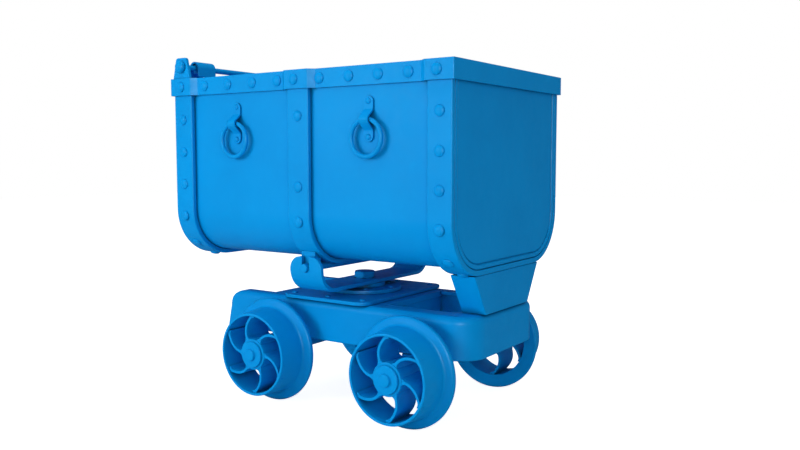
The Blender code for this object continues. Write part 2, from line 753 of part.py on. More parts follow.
def build_axle(end_name, x):
    """A fixed axle with a shoulder behind each wheel, and a cap in front of each hub that keeps it on."""
    stop = WHEEL_FRONT - 0.005 + GAP
    shoulder = WHEEL_BACK - 0.004 - GAP
    half = [
        (0.034, FRAME_HALF + GAP),
        (0.034, shoulder),
        (AXLE_R, shoulder),
        (AXLE_R, stop - GAP),
        (0.0, stop - GAP),
    ]
    left = [(r, -along) for r, along in reversed(half)]
    profile = left + [(AXLE_R, -FRAME_HALF - GAP), (AXLE_R, FRAME_HALF + GAP)] + half
    finish(turned("axle_" + end_name, profile, (x, 0, AXLE_Z), "Y", 24))
    for side, side_name in ((-1, "near"), (1, "far")):
        cap = [
            (0.0, stop),
            (0.045, stop),
            (0.045, stop + 0.006),
            (0.043, stop + 0.008),
            (0.021, stop + 0.008),
            (0.019, stop + 0.017),
            (0.0, stop + 0.017),
        ]
        finish(turned(f"axle_cap_{side_name}_{end_name}", cap, (x, 0, AXLE_Z), "Y", 24, side))
        low, high = sorted((side * (FRAME_HALF - 0.046), side * (FRAME_HALF - 0.002)))
        w = 0.050
        outline = [(x - w, FRAME_BOTTOM - GAP), (x - w, 0.170)]
        outline += arc((x, 0.181), w - 0.004, 195, 345, 8) + [(x + w, 0.170), (x + w, FRAME_BOTTOM - GAP)]
        pedestal = prism(f"pedestal_{side_name}_{end_name}", "Y", outline, low, high)
        hole = prism(pedestal.name + "_cutter", "Y", circle((x, AXLE_Z), AXLE_R + GAP, 24), -0.5, 0.5)
        boolean(pedestal, hole, "DIFFERENCE")
        finish(pedestal)


def build_running_gear():
    for end_name, x in WHEEL_XS.items():
        build_axle(end_name, x)
        for side, side_name in ((-1, "near"), (1, "far")):
            build_wheel(f"wheel_{side_name}_{end_name}", x, side)


build_frame()
build_bolster()
build_tie()
build_turntable()
build_king_bolt()
build_cradle()
build_running_gear()
build_shell()
build_end_plate()
build_straps()
build_rim()
build_trunnion_rod()
build_foot()
build_rings()
build_lugs()
build_hinge_rod()
build_door()
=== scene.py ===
"""Mine cart: the detailed pieces, blue paint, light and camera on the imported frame. Metres, +Z up."""

from math import cos, pi, radians, sin, sqrt

import bmesh
import bpy
from mathutils import Matrix, Vector


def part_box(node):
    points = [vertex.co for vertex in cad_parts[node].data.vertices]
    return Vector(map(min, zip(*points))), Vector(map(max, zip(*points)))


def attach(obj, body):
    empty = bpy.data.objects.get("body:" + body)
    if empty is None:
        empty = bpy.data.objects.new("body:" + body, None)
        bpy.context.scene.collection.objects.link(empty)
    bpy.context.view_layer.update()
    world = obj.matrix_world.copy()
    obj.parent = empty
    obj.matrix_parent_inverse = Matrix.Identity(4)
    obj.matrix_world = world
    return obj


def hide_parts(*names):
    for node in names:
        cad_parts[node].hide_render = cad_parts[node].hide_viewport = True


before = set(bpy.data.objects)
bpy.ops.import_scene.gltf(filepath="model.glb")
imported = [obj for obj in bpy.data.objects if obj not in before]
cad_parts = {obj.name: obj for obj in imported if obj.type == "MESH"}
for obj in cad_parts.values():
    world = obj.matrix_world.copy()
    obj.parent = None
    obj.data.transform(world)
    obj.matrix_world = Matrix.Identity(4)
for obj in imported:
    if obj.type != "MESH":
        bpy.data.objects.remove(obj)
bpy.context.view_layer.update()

GAP = 0.0003
# Cutters that go right through the cart in y reach this far each way.
ACROSS = 0.5
NEAR_FAR = ((-1, "near"), (1, "far"))
ENDS = ("door_end", "closed_end")
STRAPS = ("door_end", "closed_end", "middle")


def lows_highs(node):
    low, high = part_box(node)
    return tuple(low), tuple(high)


# ---------------------------------------------------------------- materials
def node(tree, kind, **settings):
    made = tree.nodes.new(kind)
    for key, value in settings.items():
        setattr(made, key, value)
    return made


def ramp(tree, source, low, high, start=0.0, end=1.0):
    """Maps source from start..end to low..high."""
    made = node(tree, "ShaderNodeMapRange")
    made.inputs["From Min"].default_value = start
    made.inputs["From Max"].default_value = end
    made.inputs["To Min"].default_value = low
    made.inputs["To Max"].default_value = high
    tree.links.new(source, made.inputs["Value"])
    return made.outputs["Result"]


def noise(tree, coords, scale, detail=3.0, roughness=0.5):
    made = node(tree, "ShaderNodeTexNoise")
    made.inputs["Scale"].default_value = scale
    made.inputs["Detail"].default_value = detail
    made.inputs["Roughness"].default_value = roughness
    tree.links.new(coords, made.inputs["Vector"])
    return made.outputs["Fac"]


def mix(tree, factor, first, second):
    """Blends two colours, each a tuple or a socket."""
    made = node(tree, "ShaderNodeMix", data_type="RGBA")
    tree.links.new(factor, made.inputs[0])
    for colour, socket in ((first, made.inputs[6]), (second, made.inputs[7])):
        if isinstance(colour, tuple):
            socket.default_value = (*colour, 1.0)
        else:
            tree.links.new(colour, socket)
    return made.outputs[2]


def bump(tree, height, strength, distance, normal=None):
    made = node(tree, "ShaderNodeBump")
    made.inputs["Strength"].default_value = strength
    made.inputs["Distance"].default_value = distance
    tree.links.new(height, made.inputs["Height"])
    if normal is not None:
        tree.links.new(normal, made.inputs["Normal"])
    return made.outputs["Normal"]


def new_material(name):
    made = bpy.data.materials.new(name)
    made.use_nodes = True
    return made, made.node_tree, made.node_tree.nodes["Principled BSDF"]


def blue_paint(name, surface):
    """Satin enamel: sprayed over plate ("sheet") or over a sand casting ("cast")."""
    made, tree, shader = new_material(name)
    coords = node(tree, "ShaderNodeTexCoord").outputs["Object"]
    broad = noise(tree, coords, 3.2, 4.0, 0.55)
    patches = noise(tree, coords, 17.0, 5.0, 0.6)
    shade = mix(tree, ramp(tree, broad, 0.0, 1.0, 0.36, 0.64), PAINT_DEEP, PAINT_LIGHT)
    faded = mix(tree, ramp(tree, patches, 0.0, 0.30, 0.52, 0.74), shade, PAINT_FADED)
    # Dust settles thinly on what faces up.
    facing = node(tree, "ShaderNodeSeparateXYZ")
    tree.links.new(node(tree, "ShaderNodeNewGeometry").outputs["Normal"], facing.inputs[0])
    dust = node(tree, "ShaderNodeMath", operation="MULTIPLY")
    tree.links.new(ramp(tree, facing.outputs["Z"], 0.0, 0.20, 0.55, 1.0), dust.inputs[0])
    tree.links.new(ramp(tree, patches, 0.2, 1.0, 0.40, 0.62), dust.inputs[1])
    dusted = mix(tree, dust.outputs[0], faded, PAINT_DUST)
    # Painted shade: the base colour is darkened in the corners, round the rivets and along the edges of
    # the straps, wherever ambient occlusion finds other surfaces close by.
    corners = node(tree, "ShaderNodeAmbientOcclusion", samples=8, only_local=False)
    corners.inputs["Distance"].default_value = CORNER_SHADE_REACH
    corner_shade = ramp(tree, corners.outputs["AO"], 0.70, 0.0, 0.20, 0.80)
    tree.links.new(mix(tree, corner_shade, dusted, PAINT_CORNER_SHADE), shader.inputs["Base Color"])
    gloss = noise(tree, coords, 28.0, 4.0, 0.6)
    tree.links.new(ramp(tree, gloss, 0.30, 0.44, 0.34, 0.66), shader.inputs["Roughness"])
    if surface == "cast":
        grit = noise(tree, coords, 150.0, 6.0, 0.7)
        normal = bump(tree, grit, 0.22, 0.0009)
        normal = bump(tree, noise(tree, coords, 34.0, 2.0), 0.18, 0.0022, normal)
    else:
        normal = bump(tree, noise(tree, coords, 240.0, 3.0, 0.55), 0.10, 0.0005)
        normal = bump(tree, noise(tree, coords, 6.0, 2.0), 0.12, 0.0045, normal)
    tree.links.new(normal, shader.inputs["Normal"])
    shader.inputs["Specular IOR Level"].default_value = 0.07
    shader.inputs["Specular Tint"].default_value = (0.55, 0.85, 1.0, 1.0)
    return made


def bronze(name):
    made, tree, shader = new_material(name)
    coords = node(tree, "ShaderNodeTexCoord").outputs["Object"]
    grain = noise(tree, coords, 90.0, 4.0)
    tree.links.new(mix(tree, grain, (0.36, 0.22, 0.09), (0.52, 0.35, 0.16)), shader.inputs["Base Color"])
    tree.links.new(ramp(tree, grain, 0.25, 0.45), shader.inputs["Roughness"])
    shader.inputs["Metallic"].default_value = 1.0
    return made


PAINT_DEEP = (0.0, 0.290, 0.735)
PAINT_LIGHT = (0.0, 0.312, 0.775)
PAINT_FADED = (0.0, 0.335, 0.790)
# Painted shade: the dark blue laid into corners and crevices by the ambient occlusion mask.
PAINT_CORNER_SHADE = (0.0, 0.045, 0.120)
PAINT_DUST = (0.008, 0.330, 0.740)
# How far from other surfaces the painted corner shade reaches.
CORNER_SHADE_REACH = 0.030
SHEET = blue_paint("blue_paint_on_plate", "sheet")
CAST = blue_paint("blue_paint_on_casting", "cast")
BRONZE = bronze("bearing_bronze")


# ---------------------------------------------------------------- mesh helpers
def arc(centre, radius, start, end, steps):
    points = []
    for i in range(steps + 1):
        a = radians(start + (end - start) * i / steps)
        points.append((centre[0] + radius * cos(a), centre[1] + radius * sin(a)))
    return points


def circle(centre, radius, steps):
    return arc(centre, radius, 0, 360 * (steps - 1) / steps, steps - 1)


def place(axis, point, along):
    u, v = point
    return {"X": (along, u, v), "Y": (u, along, v), "Z": (u, v, along)}[axis]


def smooth_step(t):
    return t * t * (3 - 2 * t)


def curve(start, pull, end, t):
    """A point at t of the quadratic curve from start to end."""
    return start * (1 - t) ** 2 + pull * 2 * t * (1 - t) + end * t * t


def sharp_edges(bm, angle=35):
    bm.normal_update()
    shared = [e for e in bm.edges if len(e.link_faces) == 2]
    return [e for e in shared if e.calc_face_angle(0.0) > radians(angle)]


def bevel(bm, width, segments=3, angle=35):
    bmesh.ops.recalc_face_normals(bm, faces=bm.faces)
    bmesh.ops.bevel(
        bm,
        geom=sharp_edges(bm, angle),
        offset=width,
        segments=segments,
        profile=0.5,
        affect="EDGES",
        clamp_overlap=True,
    )


def rounded_rectangle(half_x, low, high, radius, steps):
    """An outline half_x each way from the middle, from low to high, with round corners."""
    x, low, high = half_x - radius, low + radius, high - radius
    outline = arc((-x, low), radius, 180, 270, steps) + arc((x, low), radius, 270, 360, steps)
    return outline + arc((x, high), radius, 0, 90, steps) + arc((-x, high), radius, 90, 180, steps)


def new_object(name, bm):
    bmesh.ops.recalc_face_normals(bm, faces=bm.faces)
    mesh = bpy.data.meshes.new(name)
    bm.to_mesh(mesh)
    bm.free()
    obj = bpy.data.objects.new(name, mesh)
    bpy.context.scene.collection.objects.link(obj)
    return obj


def piece(name, bm_or_obj, body, paint, nodes=(), weighted=True):
    """Finishes a piece: paint, smooth shading, its body, and the CAD nodes it stands for."""
    obj = bm_or_obj if isinstance(bm_or_obj, bpy.types.Object) else new_object(name, bm_or_obj)
    obj.name = name
    obj.data.materials.clear()
    obj.data.materials.append(paint)
    for face in obj.data.polygons:
        face.use_smooth = True
    obj.data.set_sharp_from_angle(angle=radians(38))
    if weighted:
        modifier = obj.modifiers.new("weighted", "WEIGHTED_NORMAL")
        modifier.keep_sharp = True
    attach(obj, body)
    if nodes:
        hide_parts(*nodes)
    return obj


def extrude(bm, axis, outline, low, high):
    bottom = [bm.verts.new(place(axis, p, low)) for p in outline]
    top = [bm.verts.new(place(axis, p, high)) for p in outline]
    bm.faces.new(bottom)
    bm.faces.new(top)
    for i in range(len(outline)):
        j = (i + 1) % len(outline)
        bm.faces.new((bottom[i], bottom[j], top[j], top[i]))


def prism(axis, outline, low, high):
    bm = bmesh.new()
    extrude(bm, axis, outline, low, high)
    return bm


def revolve(bm, profile, centre, axis, steps, sign=1.0):
    rows = []
    for k in range(steps):
        a = 2 * pi * k / steps
        row = []
        for radius, along in profile:
            offset = Vector(place(axis, (radius * cos(a), radius * sin(a)), sign * along))
            row.append(bm.verts.new(Vector(centre) + offset))
        rows.append(row)
    for k in range(steps):
        here, there = rows[k], rows[(k + 1) % steps]
        for i in range(len(profile)):
            j = (i + 1) % len(profile)
            bm.faces.new((here[i], here[j], there[j], there[i]))
    bmesh.ops.remove_doubles(bm, verts=bm.verts, dist=1e-6)
    bmesh.ops.dissolve_degenerate(bm, edges=bm.edges, dist=1e-7)


def turned(profile, centre, axis, steps=64, sign=1.0):
    bm = bmesh.new()
    revolve(bm, profile, centre, axis, steps, sign)
    return bm


def boolean(obj, bm, operation="DIFFERENCE"):
    """Applies a Boolean at once and removes the cutter."""
    cutter = new_object("cutter", bm)
    modifier = obj.modifiers.new("cut", "BOOLEAN")
    modifier.operation = operation
    modifier.object = cutter
    graph = bpy.context.evaluated_depsgraph_get()
    graph.update()
    made = bpy.data.meshes.new_from_object(obj.evaluated_get(graph))
    obj.modifiers.clear()
    obj.data = made
    bpy.data.objects.remove(cutter)


def rivet_profile(radius, height):
    """A snap head: a short upright edge, then a flattened dome."""
    profile = [(0.0, -0.0015), (radius, -0.0015), (radius, height * 0.16)]
    for i in range(1, 8):
        t = radians(90 * i / 7)
        profile.append((radius * (0.97 * cos(t)), height * (0.22 + 0.78 * sin(t))))
    profile[-1] = (0.0, height)
    return profile


# Rivet heads, each (radius, height).
STRAP_RIVET = (0.0178, 0.0075)
RIM_RIVET = (0.0184, 0.0078)
EYE_RIVET = (0.0095, 0.0050)
DOOR_BAR_RIVET = (0.0165, 0.0075)
HANDLE_RIVET = (0.0072, 0.0042)
LEAF_RIVET = (0.0135, 0.0068)
TURNTABLE_RIVET = (0.0105, 0.0056)
DISC_RIVET = (0.0092, 0.0046)


def rivets(name, places, body, size, steps=28):
    """Rivet heads on faces. Each place is (point on the surface, outward direction)."""
    bm = bmesh.new()
    for point, out in places:
        one = bmesh.new()
        revolve(one, rivet_profile(*size), (0, 0, 0), "Z", steps)
        turn = Vector((0, 0, 1)).rotation_difference(Vector(out)).to_matrix().to_4x4()
        bmesh.ops.transform(one, matrix=Matrix.Translation(point) @ turn, verts=one.verts)
        mesh = bpy.data.meshes.new("rivet")
        one.to_mesh(mesh)
        one.free()
        bm.from_mesh(mesh)
        bpy.data.meshes.remove(mesh)
    return piece(name, bm, body, SHEET, weighted=False)


def offset_line(points, distance):
    """The same open line moved to the left of its travel."""
    moved = []
    for i, here in enumerate(points):
        before = Vector(points[max(i - 1, 0)])
        after = Vector(points[min(i + 1, len(points) - 1)])
        into = (Vector(here) - before).normalized() if i else (after - Vector(here)).normalized()
        out = (after - Vector(here)).normalized() if i < len(points) - 1 else into
        tangent = (into + out).normalized()
        across = Vector((-tangent.y, tangent.x))
        moved.append(tuple(Vector(here) + across * distance / max(0.5, tangent.dot(out))))
    return moved


def bent_strip(line, thickness, half_width, middle=0.0):
    """A flat bar bent along a line in (y, z).

    Its thickness lies to the left of the line's travel. Along X it reaches half_width(distance
    travelled) each way from the middle.
    """
    other = offset_line(line, thickness)
    bm = bmesh.new()
    rows, along = [], 0.0
    for i, (p, q) in enumerate(zip(line, other)):
        if i:
            along += (Vector(p) - Vector(line[i - 1])).length
        w = half_width(along)
        section = ((-w, p), (w, p), (w, q), (-w, q))
        rows.append([bm.verts.new((middle + x, *v)) for x, v in section])
    bm.faces.new(rows[0])
    bm.faces.new(rows[-1])
    for here, there in zip(rows, rows[1:]):
        for k in range(4):
            j = (k + 1) % 4
            bm.faces.new((here[k], here[j], there[j], there[k]))
    return bm


def line_length(line):
    return sum((Vector(b) - Vector(a)).length for a, b in zip(line, line[1:]))


def refine(line, step):
    """The same line with points no further apart than step."""
    made = [line[0]]
    for a, b in zip(line, line[1:]):
        count = max(1, int((Vector(b) - Vector(a)).length / step))
        for i in range(1, count + 1):
            made.append(tuple(Vector(a).lerp(Vector(b), i / count)))
    return made


# ---------------------------------------------------------------- tub
SHELL_LOW, SHELL_HIGH = lows_highs("tub_shell")
SHELL_HALF = SHELL_HIGH[1]
SHELL_BOTTOM = SHELL_LOW[2]
TUB_END = -SHELL_LOW[0]
TUB_TOP = SHELL_HIGH[2]
SHELL_RADIUS = 0.157
SHELL_T = 0.007
STRAP_T = 0.0183
STRAP_HALF = SHELL_HALF + GAP + STRAP_T
STRAP_BOTTOM = SHELL_BOTTOM - GAP - STRAP_T
STRAP_RADIUS = SHELL_RADIUS + GAP + STRAP_T
STRAP_RIVETS_Z = (0.992, 0.876, 0.7605, 0.645)
STRAP_RIVET_ANGLES = (46, 79)
PLATE_T = 0.0105
PLATE_DROP = 0.004


def u_line(half, bottom, radius, top, steps=28):
    left = arc((-half + radius, bottom + radius), radius, 180, 270, steps)
    right = arc((half - radius, bottom + radius), radius, 270, 360, steps)
    return [(-half, top)] + left + right + [(half, top)]


def u_bar(half, bottom, radius, thickness, span):
    inside = u_line(half - thickness, bottom + thickness, radius - thickness, TUB_TOP)
    return prism("X", u_line(half, bottom, radius, TUB_TOP) + inside[::-1], *span)


def curve_place(x, half, bottom, radius, angle, side):
    """A place on the rounded lower corner of a U, angle 0 at the side and 90 at the bottom."""
    a = radians(angle)
    y = side * (half - radius + radius * cos(a))
    z = bottom + radius - radius * sin(a)
    return (x, y, z), (0, side * cos(a), -sin(a))


def build_tub():
    bm = u_bar(SHELL_HALF, SHELL_BOTTOM, SHELL_RADIUS, SHELL_T, (-TUB_END, TUB_END - PLATE_T - GAP))
    bevel(bm, 0.0012, 2)
    piece("tub_shell_sheet", bm, "tub", SHEET, ("tub_shell",))
    build_end_plate()
    build_straps()
    build_rim()
    build_foot()
    build_rod()


def build_end_plate():
    """The closed end: a raised band round a flat recessed panel, with rolled edges."""
    bm = bmesh.new()
    loops = []
    # Each step is how far in from the outline it lies, and its x.
    steps = (
        (0.0006, TUB_END - PLATE_T),
        (0.0006, TUB_END - 0.0066),
        (0.0014, TUB_END - 0.0036),
        (0.0034, TUB_END - 0.0012),
        (0.0062, TUB_END),
        (0.0112, TUB_END),
        (0.0138, TUB_END - 0.0008),
        (0.0156, TUB_END - 0.0028),
        (0.0166, TUB_END - 0.0066),
        (0.0180, TUB_END - 0.0076),
        (0.0196, TUB_END - 0.0066),
        (0.0210, TUB_END - 0.0044),
        (0.0235, TUB_END - 0.0040),
    )
    for inset, x in steps:
        half, bottom, radius = SHELL_HALF - inset, SHELL_BOTTOM + inset, SHELL_RADIUS - inset
        outline = u_line(half, bottom, radius, TUB_TOP - PLATE_DROP)
        loops.append([bm.verts.new((x, *p)) for p in outline])
    for here, there in zip(loops, loops[1:]):
        for i in range(len(here) - 1):
            bm.faces.new((here[i], here[i + 1], there[i + 1], there[i]))
    bm.faces.new(loops[0])
    bm.faces.new(loops[-1])
    bm.faces.new([loop[0] for loop in loops] + [loop[-1] for loop in reversed(loops)])
    piece("end_plate_pressed", bm, "tub", SHEET, ("tub_end_plate",))


def build_straps():
    for where in STRAPS:
        low, high = lows_highs("strap_" + where)
        bm = u_bar(STRAP_HALF, STRAP_BOTTOM, STRAP_RADIUS, STRAP_T, (low[0], high[0]))
        bevel(bm, 0.0045, 5)
        bar = new_object("strap_bar_" + where, bm)
        if where == "middle":
            boolean(bar, prism("Y", circle((0, ROD_Z), ROD_R + 0.0004, 48), -0.34, 0.34))
        piece("strap_bar_" + where, bar, "tub", SHEET, ("strap_" + where,))
        x = (low[0] + high[0]) / 2
        heads = []
        for side in (-1, 1):
            for z in STRAP_RIVETS_Z:
                if where == "middle" and z == STRAP_RIVETS_Z[1]:
                    continue
                heads.append(((x, side * STRAP_HALF, z), (0, side, 0)))
            if where == "middle":
                continue
            for angle in STRAP_RIVET_ANGLES:
                heads.append(curve_place(x, STRAP_HALF, STRAP_BOTTOM, STRAP_RADIUS, angle, side))
        rivets("strap_rivets_" + where, heads, "tub", STRAP_RIVET)


RIM_LOW, RIM_HIGH = lows_highs("rim_band")
RIM_END = 0.600
RIM_T = 0.0085
RIM_RAMP = 0.021
RIM_INNER_END = RIM_END - 0.0097
# How a joggle climbs: (part of the ramp's length, part of its height), with tight bends at both ends.
JOGGLE = ((-0.10, 0.0), (-0.03, 0.005), (0.04, 0.035), (0.10, 0.095))
JOGGLE += ((0.90, 0.905), (0.96, 0.965), (1.03, 0.995), (1.10, 1.0))
RIM_RIVETS_X = (-0.546, -0.442, -0.325, -0.208, -0.093, -0.005, 0.089, 0.208, 0.321, 0.432, 0.541)


def strap_spans():
    """Where each strap starts and ends in x, from the door end on."""
    boxes = [lows_highs("strap_" + where) for where in STRAPS]
    return sorted((low[0], high[0]) for low, high in boxes)


def rim_side():
    """(x, step) along one side: the band is joggled out over each strap."""
    points = []
    clear = 0.004
    for low, high in strap_spans():
        if low > -TUB_END + 0.01:
            points += [(low - clear - RIM_RAMP * (1 - t), s) for t, s in JOGGLE]
        if high < TUB_END - 0.01:
            points += [(high + clear + RIM_RAMP * (1 - t), s) for t, s in reversed(JOGGLE)]
    return points


def rim_loop(end, inset, radius):
    step = STRAP_T + GAP
    low = SHELL_HALF + GAP + RIM_T - inset
    high = low + step
    near = [(x, -(low + step * s)) for x, s in rim_side()]
    far = [(x, -y) for x, y in reversed(near)]
    loop = arc((-end + radius, -high + radius), radius, 180, 270, 5) + near
    loop += arc((end - radius, -high + radius), radius, 270, 360, 5)
    loop += arc((end - radius, high - radius), radius, 0, 90, 5) + far
    return loop + arc((-end + radius, high - radius), radius, 90, 180, 5)


def build_rim():
    outer = rim_loop(RIM_END, 0.0, 0.004)
    inner = rim_loop(RIM_INNER_END, RIM_T, 0.0006)
    bm = bmesh.new()
    low, high, loops = RIM_LOW[2], RIM_HIGH[2], []
    for outline, z in ((outer, low), (outer, high), (inner, high), (inner, low)):
        loops.append([bm.verts.new((*p, z)) for p in outline])
    for k in range(4):
        first, second = loops[k], loops[(k + 1) % 4]
        for i in range(len(outer)):
            j = (i + 1) % len(outer)
            bm.faces.new((first[i], first[j], second[j], second[i]))
    piece("rim_flat_bar", bm, "tub", SHEET, ("rim_band",))
    middle = (low + high) / 2
    flat = SHELL_HALF + GAP + RIM_T
    proud = flat + STRAP_T + GAP
    heads = []
    for side in (-1, 1):
        for x in RIM_RIVETS_X:
            over = any(low_x < x < high_x for low_x, high_x in strap_spans())
            heads.append(((x, side * (proud if over else flat), middle), (0, side, 0)))
    rivets("rim_rivets", heads, "tub", RIM_RIVET)


FOOT_LOW, FOOT_HIGH = lows_highs("rest_foot")
FOOT_HALF_LOW = 0.148


def build_foot():
    bm = bmesh.new()
    rings = []
    x0, x1 = FOOT_LOW[0], FOOT_HIGH[0]
    for z, half in ((FOOT_LOW[2], FOOT_HALF_LOW), (FOOT_HIGH[2], FOOT_HIGH[1])):
        corners = ((x0, -half), (x1, -half), (x1, half), (x0, half))
        rings.append([bm.verts.new((x, y, z)) for x, y in corners])
    bm.faces.new(rings[0])
    bm.faces.new(rings[1])
    for i in range(4):
        j = (i + 1) % 4
        bm.faces.new((rings[0][i], rings[0][j], rings[1][j], rings[1][i]))
    bevel(bm, 0.0030, 4)
    piece("rest_foot_cast", bm, "tub", CAST, ("rest_foot",))


ROD_LOW, ROD_HIGH = lows_highs("trunnion_rod")
ROD_Z = (ROD_LOW[2] + ROD_HIGH[2]) / 2
ROD_R = (ROD_HIGH[2] - ROD_LOW[2]) / 2
ROD_HALF = ROD_HIGH[1]


def build_rod():
    profile = [(0.0, -ROD_HALF), (ROD_R - 0.004, -ROD_HALF), (ROD_R - 0.0012, -ROD_HALF + 0.0012)]
    profile += [(ROD_R, -ROD_HALF + 0.004), (ROD_R, ROD_HALF - 0.004)]
    profile += [(ROD_R - 0.0012, ROD_HALF - 0.0012), (ROD_R - 0.004, ROD_HALF), (0.0, ROD_HALF)]
    piece("trunnion_bar", turned(profile, (0, 0, ROD_Z), "Y", 64), "tub", SHEET, ("trunnion_rod",))
    build_saddles()


def build_saddles():
    """Blocks that fill the space between the rod and the curve of the middle strap."""
    centre_y, centre_z = STRAP_HALF - STRAP_RADIUS, STRAP_BOTTOM + STRAP_RADIUS
    r = STRAP_RADIUS + 2 * GAP
    for side, side_name in NEAR_FAR:
        low, high = lows_highs("rod_saddle_" + side_name)
        y0, y1 = sorted((abs(low[1]), abs(high[1])))
        outline = [(side * y1, ROD_Z), (side * y0, ROD_Z)]
        for i in range(9):
            y = y0 + (y1 - y0) * i / 8
            outline.append((side * y, centre_z - sqrt(r * r - (y - centre_y) ** 2)))
        bm = prism("X", outline, low[0], high[0])
        bevel(bm, 0.0016, 2, angle=50)
        block = new_object("rod_saddle_block", bm)
        boolean(block, prism("Y", circle((0, ROD_Z), ROD_R + GAP, 48), -ACROSS, ACROSS))
        piece("rod_saddle_block_" + side_name, block, "tub", SHEET, ("rod_saddle_" + side_name,))


# ---------------------------------------------------------------- rings and eye straps
RING_TUBE = 0.0073
EYE_HALF = 0.0182
EYE_T = 0.006
EYE_TOP, EYE_BOTTOM = 1.046, 0.905
EYE_RIVETS_Z = (1.031, 0.920)
# The bow round the ring: how far out it reaches, and half its height.
BOW_REACH, BOW_HALF = 0.0290, 0.034


def build_rings():
    for side, side_name in NEAR_FAR:
        for end in ENDS:
            name = f"{side_name}_{end}"
            low, high = lows_highs("ring_" + name)
            x = (low[0] + high[0]) / 2
            y = (low[1] + high[1]) / 2
            z = high[2] - RING_TUBE
            ring_r = (high[0] - low[0]) / 2 - RING_TUBE
            bm = turned(circle((ring_r, 0.0), RING_TUBE, 20), (x, y, z - ring_r), "Y", 96)
            ring = "ring_" + name
            piece("ring_round_bar_" + name, bm, ring, SHEET, (ring,), weighted=False)
            build_eye(name, x, side, z)


def build_eye(name, x, side, pivot):
    """A narrow strip riveted at both ends and bowed out round the ring."""
    bow_low = pivot - 0.002 - BOW_HALF
    line = []
    steps = 72
    for i in range(steps + 1):
        z = EYE_TOP + (EYE_BOTTOM - EYE_TOP) * i / steps
        u = (z - bow_low) / (2 * BOW_HALF)
        out = BOW_REACH * (1 - cos(2 * pi * u)) / 2 if 0 < u < 1 else 0.0
        line.append((side * (SHELL_HALF + GAP + out), z))
    total = line_length(line)

    def half_width(along):
        """Round at both ends, and a little narrower over the bow."""
        to_end = min(along, total - along)
        if to_end < EYE_HALF:
            return max(0.0022, sqrt(EYE_HALF**2 - (EYE_HALF - to_end) ** 2))
        return EYE_HALF - 0.0008 * smooth_step(min(1.0, max(0.0, (to_end - 0.020) / 0.030)))

    bm = bent_strip(line, EYE_T * side, half_width, x)
    bevel(bm, 0.0011, 2, angle=50)
    piece("eye_bow_" + name, bm, "tub", SHEET, ("eye_strap_" + name,))
    face = side * (SHELL_HALF + GAP + EYE_T)
    heads = [((x, face, z), (0, side, 0)) for z in EYE_RIVETS_Z]
    rivets("eye_rivets_" + name, heads, "tub", EYE_RIVET, 24)


# ---------------------------------------------------------------- hinge and door
HINGE_X, HINGE_Z = -0.546, 1.1825
HINGE_ROD_R = 0.010
HINGE_T = 0.007
HINGE_HEAD_R, HINGE_HEAD_BASE = 0.0222, 0.372 + GAP
ROLL_R = 0.018
LUG_TOP_HALF = 0.026
DOOR_BAR_T, DOOR_BAR_CORNER = 0.010, 0.012
DOOR_BAR_RIVETS_Y = (-0.27, -0.09, 0.09, 0.27)
HANDLE_HALF, HANDLE_T, HANDLE_BEND = 0.060, 0.008, 0.009
HANDLE_RIVETS_Y, HANDLE_RIVETS_Z = (-0.040, 0.040), (0.661, 0.579)
LEAF_BOTTOM = 0.820
LEAF_RIVETS_Y, LEAF_RIVETS_Z = (-0.024, 0.024), (1.030, 0.945, 0.860)


def build_hinge():
    for side, side_name in NEAR_FAR:
        node_name = "hinge_lug_" + side_name
        low, high = lows_highs(node_name)
        outline = [(low[0], low[2]), (high[0], low[2])]
        outline += [(HINGE_X + LUG_TOP_HALF, high[2]), (HINGE_X - LUG_TOP_HALF, high[2])]
        bm = prism("Y", outline, low[1], high[1])
        upright = [e for e in sharp_edges(bm) if abs(e.verts[0].co.y - e.verts[1].co.y) > 0.005]
        top = [e for e in upright if e.verts[0].co.z > HINGE_Z]
        bmesh.ops.bevel(bm, geom=top, offset=0.008, segments=6, profile=0.5, affect="EDGES")
        bevel(bm, 0.0016, 3, angle=40)
        piece("lug_plate_" + side_name, bm, "tub", SHEET, (node_name,))
    build_hinge_pin()


def build_hinge_pin():
    """A pin with a domed head at each end."""
    base, tip = HINGE_HEAD_BASE, lows_highs("hinge_rod")[1][1]
    upright = 0.004
    half = [(HINGE_ROD_R, base), (HINGE_HEAD_R - 0.0017, base), (HINGE_HEAD_R, base + 0.0016)]
    for i in range(7):
        a = radians(90 * i / 7)
        half.append((HINGE_HEAD_R * cos(a), base + upright + (tip - base - upright) * sin(a)))
    half.append((0.0, tip))
    profile = [(r, -along) for r, along in reversed(half)] + half
    rod = turned(profile, (HINGE_X, 0, HINGE_Z), "Y", 64)
    piece("hinge_pin", rod, "tub", SHEET, ("hinge_rod",))


def build_door():
    low, high = lows_highs("door_plate")
    outline = u_line(high[1], low[2], SHELL_RADIUS - 0.004, high[2])
    bm = prism("X", outline, low[0], high[0])
    bevel(bm, 0.0022, 3)
    piece("door_sheet", bm, "door", SHEET, ("door_plate",))

    low, high = lows_highs("door_bar")
    face = high[0] - DOOR_BAR_T
    bm = prism("X", rounded_rectangle(high[1], low[2], high[2], DOOR_BAR_CORNER, 6), face, high[0])
    bevel(bm, 0.0022, 3, angle=50)
    piece("door_stiffener", bm, "door", SHEET, ("door_bar",))
    middle = (low[2] + high[2]) / 2
    heads = [((face, y, middle), (-1, 0, 0)) for y in DOOR_BAR_RIVETS_Y]
    rivets("door_stiffener_rivets", heads, "door", DOOR_BAR_RIVET)
    build_handle(high[0])
    build_hinge_straps(high[0])


def rounded(line, radius, steps=5):
    """An open line with its inner corners rounded."""
    made = [line[0]]
    points = [Vector(p) for p in line]
    for before, here, after in zip(points, points[1:], points[2:]):
        back, on = before - here, after - here
        reach = min(radius, back.length * 0.45, on.length * 0.45)
        start, end = here + back.normalized() * reach, here + on.normalized() * reach
        made += [tuple(curve(start, here, end, i / steps)) for i in range(steps + 1)]
    return made + [line[-1]]


